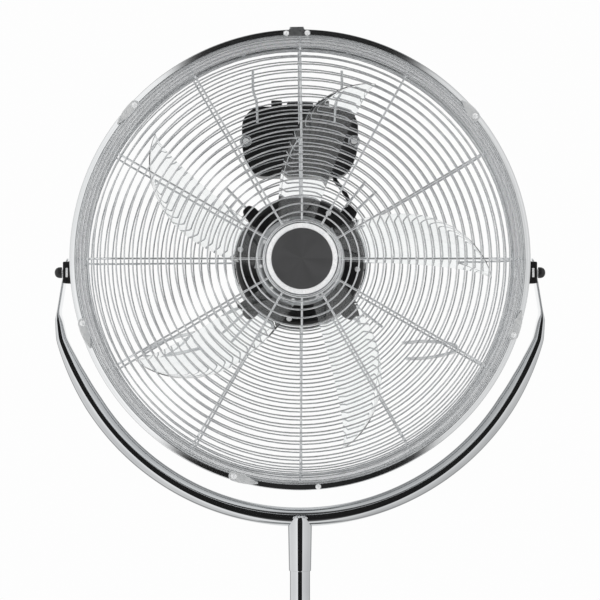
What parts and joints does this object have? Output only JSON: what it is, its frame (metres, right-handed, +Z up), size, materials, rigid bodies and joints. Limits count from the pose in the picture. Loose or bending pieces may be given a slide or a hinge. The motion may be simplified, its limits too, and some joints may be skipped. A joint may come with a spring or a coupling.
{
  "type": "pedestal fan",
  "caption": "Floor-standing pedestal fan: a chrome drum head with wire grilles tilts in a U-shaped tube yoke on a telescopic pole and a round weighted base.",
  "frame": {"origin": "centre of the round base, on the floor", "axes": "+Z up the pole; the fan faces -Y; +X is the right-hand pivot seen from the front"},
  "size_m": [0.5664, 0.4, 1.3495],
  "materials": {
    "chrome": "polished chrome plate",
    "chrome_wire": "chrome plated wire",
    "zinc_steel": "zinc plated",
    "hub_steel": "pressed steel, plated",
    "lamination_steel": "stacked laminations",
    "blade_clear": "clear styrene acrylonitrile, moulded",
    "black_plastic": "fine moulded texture",
    "black_enamel": "satin black enamel",
    "grey_plastic": "moulded",
    "black_rubber": "matt",
    "cast_weight": "rough cast, painted",
    "bronze_bush": "sintered bronze"
  },
  "bodies": {
    "stand": {"base_rubber_ring": "black_rubber", "base_weight": "cast_weight", "base_cover": "chrome", "base_bolt": "zinc_steel", "pole_socket": "chrome", "pole_nut": "zinc_steel", "lower_pole": "chrome", "guide_bush": "grey_plastic", "height_collar": "black_plastic"},
    "height_knob": {"height_knob": "black_plastic", "height_screw": "zinc_steel"},
    "mast": {"upper_pole": "chrome", "pole_slide_plug": "grey_plastic"},
    "yoke": {"yoke": "chrome", "yoke_stem": "chrome", "stem_screw": "zinc_steel", "pivot_block_left": "black_plastic", "pivot_block_right": "black_plastic", "pivot_washer_left": "chrome", "pivot_washer_right": "chrome"},
    "head": {"pivot_bolt_left": "zinc_steel", "pivot_bolt_right": "zinc_steel", "pivot_cap_left": "black_plastic", "pivot_cap_right": "black_plastic", "drum_band": "chrome", "front_grille_face": "chrome_wire", "front_grille_side": "chrome_wire", "rear_grille_face": "chrome_wire", "rear_grille_side": "chrome_wire", "badge_disc": "grey_plastic", "badge_ring": "chrome", "rim_clip_1": "chrome", "rim_clip_2": "chrome", "rim_clip_3": "chrome", "rim_clip_4": "chrome", "rim_clip_5": "chrome", "top_bracket": "chrome", "cord_wrap_left": "chrome_wire", "cord_wrap_right": "chrome_wire", "motor_front_shell": "black_enamel", "motor_rear_shell": "black_enamel", "stator": "lamination_steel", "front_bush": "bronze_bush", "rear_bush": "bronze_bush", "switch_box_front": "black_plastic", "switch_box_shell": "black_plastic", "rotary_switch": "grey_plastic", "capacitor": "grey_plastic", "cord_gland": "black_rubber", "motor_lead": "black_rubber"},
    "rotor": {"rotor_core": "lamination_steel", "motor_shaft": "zinc_steel", "blade_hub": "hub_steel", "blade_nut": "zinc_steel", "blade_1": "blade_clear", "blade_2": "blade_clear", "blade_3": "blade_clear", "blade_4": "blade_clear", "blade_5": "blade_clear"},
    "speed_knob": {"speed_knob": "grey_plastic"}
  },
  "joints": [
    {"name": "height_knob_turn", "type": "hinge", "parent": "stand", "child": "height_knob", "pos_m": [0.0415, 0, 0.47], "axis": [1, 0, 0], "range_deg": [0, 720]},
    {"name": "mast_slide", "type": "slide", "parent": "stand", "child": "mast", "axis": [0, 0, 1], "range_m": [-0.2, 0.1]},
    {"name": "yoke_swivel", "type": "hinge", "parent": "mast", "child": "yoke", "pos_m": [0, 0, 0.76], "axis": [0, 0, 1], "range_deg": [-180, 180]},
    {"name": "head_tilt", "type": "hinge", "parent": "yoke", "child": "head", "pos_m": [0, 0, 1.077], "axis": [1, 0, 0], "range_deg": [-90, 90]},
    {"name": "fan_spin", "type": "hinge", "parent": "head", "child": "rotor", "pos_m": [0, 0, 1.09], "axis": [0, 1, 0], "continuous": true},
    {"name": "speed_turn", "type": "hinge", "parent": "head", "child": "speed_knob", "pos_m": [0, 0.0975, 1.28], "axis": [0, 0, 1], "range_deg": [0, 135]}
  ]
}
